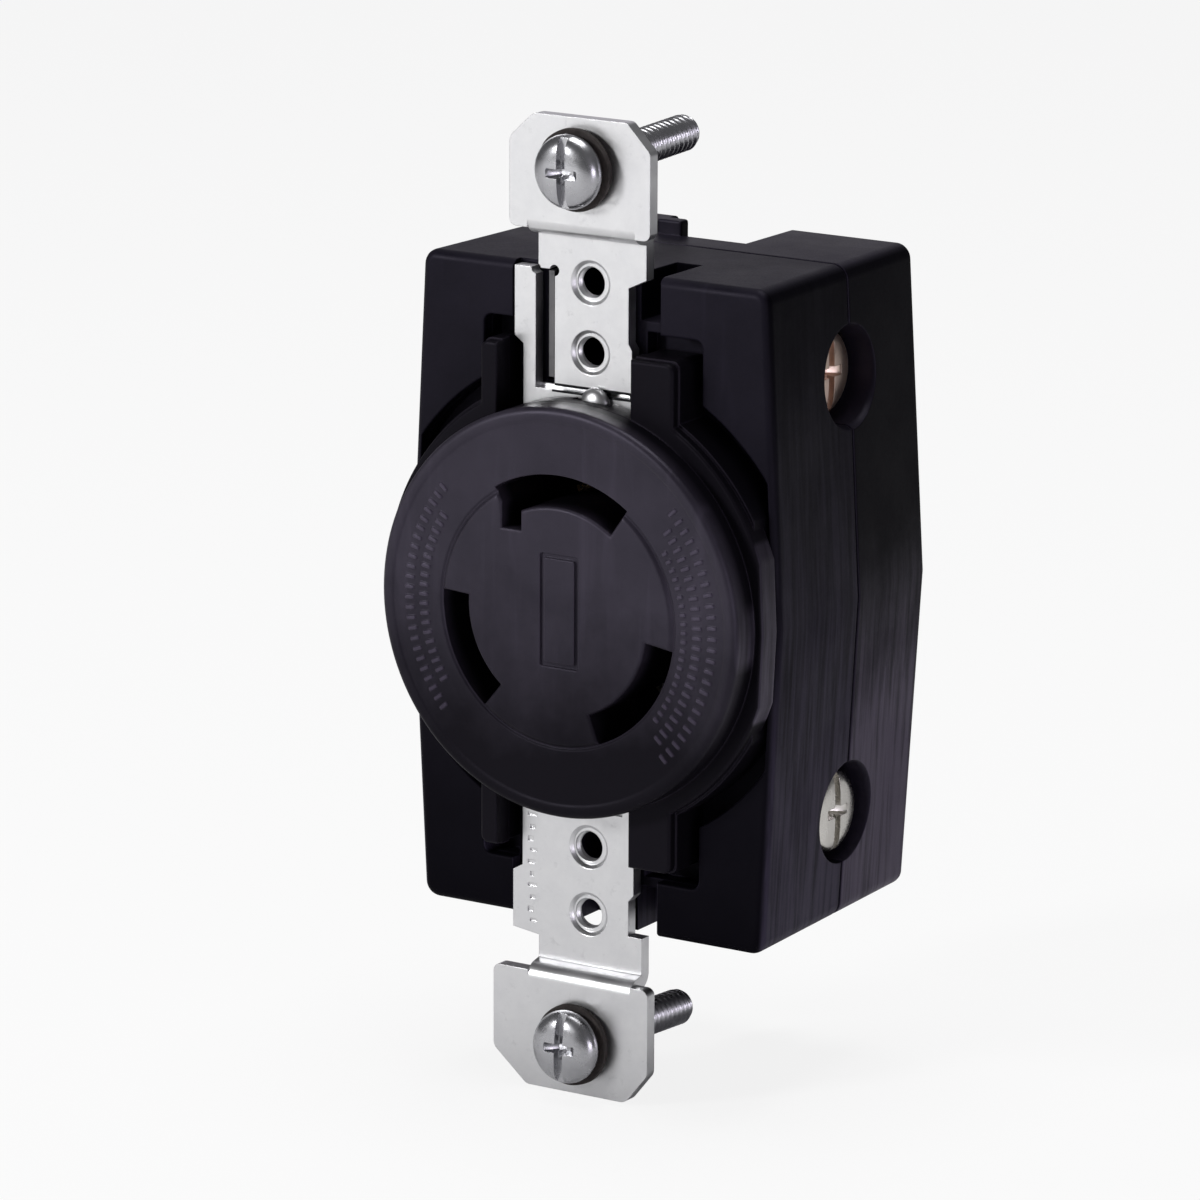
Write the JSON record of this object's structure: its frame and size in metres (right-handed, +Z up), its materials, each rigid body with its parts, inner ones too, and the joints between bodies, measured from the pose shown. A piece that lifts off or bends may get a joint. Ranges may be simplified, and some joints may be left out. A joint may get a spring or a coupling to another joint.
{
  "type": "locking flush receptacle",
  "caption": "Black locking flush receptacle with a round slotted nose, a two-part moulded body and a plated steel mounting strap with captive screws.",
  "frame": {"origin": "centre of the round front face of the nose, where the mating plug seats", "axes": "+X right seen from the front, +Y into the wall box along the nose's axis, +Z up towards the ear on the ground slot's side"},
  "size_m": [0.0406, 0.0343, 0.093],
  "materials": {
    "moulded_black": "satin moulded, faint flow marks",
    "zinc_plate": "bright zinc plating, satin",
    "brass": "bright, slightly tarnished",
    "nickel_plate": "nickel plated brass",
    "green_screw": "green dyed plating",
    "steel": "plain bright steel",
    "fibre": "black vulcanised fibre, dull"
  },
  "bodies": {
    "root": {"nose_face": "moulded_black", "front_housing": "moulded_black", "rear_housing": "moulded_black", "mounting_strap": "zinc_plate", "line_contact": "brass", "neutral_contact": "nickel_plate", "ground_contact": "brass", "line_contact_spring": "steel", "neutral_contact_spring": "steel", "ground_contact_spring": "steel", "housing_screw_upper_left": "steel", "housing_screw_upper_right": "steel", "housing_screw_lower_left": "steel", "housing_screw_lower_right": "steel", "strap_rivet_upper": "steel", "strap_rivet_lower": "steel", "ground_bond_clip": "steel"},
    "line_screw": {"line_terminal_screw": "brass"},
    "line_nut": {"line_clamp_nut": "steel"},
    "neutral_screw": {"neutral_terminal_screw": "nickel_plate"},
    "neutral_nut": {"neutral_clamp_nut": "steel"},
    "ground_screw": {"ground_terminal_screw": "green_screw"},
    "ground_nut": {"ground_clamp_nut": "steel"},
    "top_retainer": {"top_screw_retainer": "fibre"},
    "top_screw": {"top_mounting_screw": "zinc_plate"},
    "bottom_retainer": {"bottom_screw_retainer": "fibre"},
    "bottom_screw": {"bottom_mounting_screw": "zinc_plate"}
  },
  "joints": [
    {"name": "line_screw_turn", "type": "hinge", "parent": "root", "child": "line_screw", "pos_m": [0.01435, 0.02115, 0.021], "axis": [-1, 0, 0], "range_deg": [0, 1224.98]},
    {"name": "line_nut_slide", "type": "slide", "parent": "root", "child": "line_nut", "axis": [1, 0, 0], "range_m": [0, 0.0027]},
    {"name": "neutral_screw_turn", "type": "hinge", "parent": "root", "child": "neutral_screw", "pos_m": [0.0156, 0.02115, -0.021], "axis": [-1, 0, 0], "range_deg": [0, 1224.98]},
    {"name": "neutral_nut_slide", "type": "slide", "parent": "root", "child": "neutral_nut", "axis": [1, 0, 0], "range_m": [0, 0.0027]},
    {"name": "ground_screw_turn", "type": "hinge", "parent": "root", "child": "ground_screw", "pos_m": [-0.01435, 0.02115, 0.021], "axis": [1, 0, 0], "range_deg": [0, 1224.98]},
    {"name": "ground_nut_slide", "type": "slide", "parent": "root", "child": "ground_nut", "axis": [-1, 0, 0], "range_m": [0, 0.0027]},
    {"name": "top_screw_travel", "type": "slide", "parent": "root", "child": "top_retainer", "axis": [0, 0.9994, 0.0349], "range_m": [-0.0029, 0.0002]},
    {"name": "top_screw_turn", "type": "hinge", "parent": "top_retainer", "child": "top_screw", "pos_m": [0, 0.0023, 0.0411], "axis": [0, 0.9994, 0.0349], "range_deg": [-1316.28, 91.71]},
    {"name": "bottom_screw_travel", "type": "slide", "parent": "root", "child": "bottom_retainer", "axis": [0, 0.9981, -0.061], "range_m": [-0.0029, 0.0002]},
    {"name": "bottom_screw_turn", "type": "hinge", "parent": "bottom_retainer", "child": "bottom_screw", "pos_m": [0, 0.0023, -0.04214], "axis": [0, 0.9981, -0.061], "range_deg": [-1316.28, 91.71]}
  ],
  "couplings": [
    {"joint": "line_screw_turn", "follows": "line_nut_slide", "rad_per_m": 7915.8},
    {"joint": "neutral_screw_turn", "follows": "neutral_nut_slide", "rad_per_m": 7915.8},
    {"joint": "ground_screw_turn", "follows": "ground_nut_slide", "rad_per_m": 7915.8},
    {"joint": "top_screw_turn", "follows": "top_screw_travel", "rad_per_m": 7915.8},
    {"joint": "bottom_screw_turn", "follows": "bottom_screw_travel", "rad_per_m": 7915.8}
  ]
}
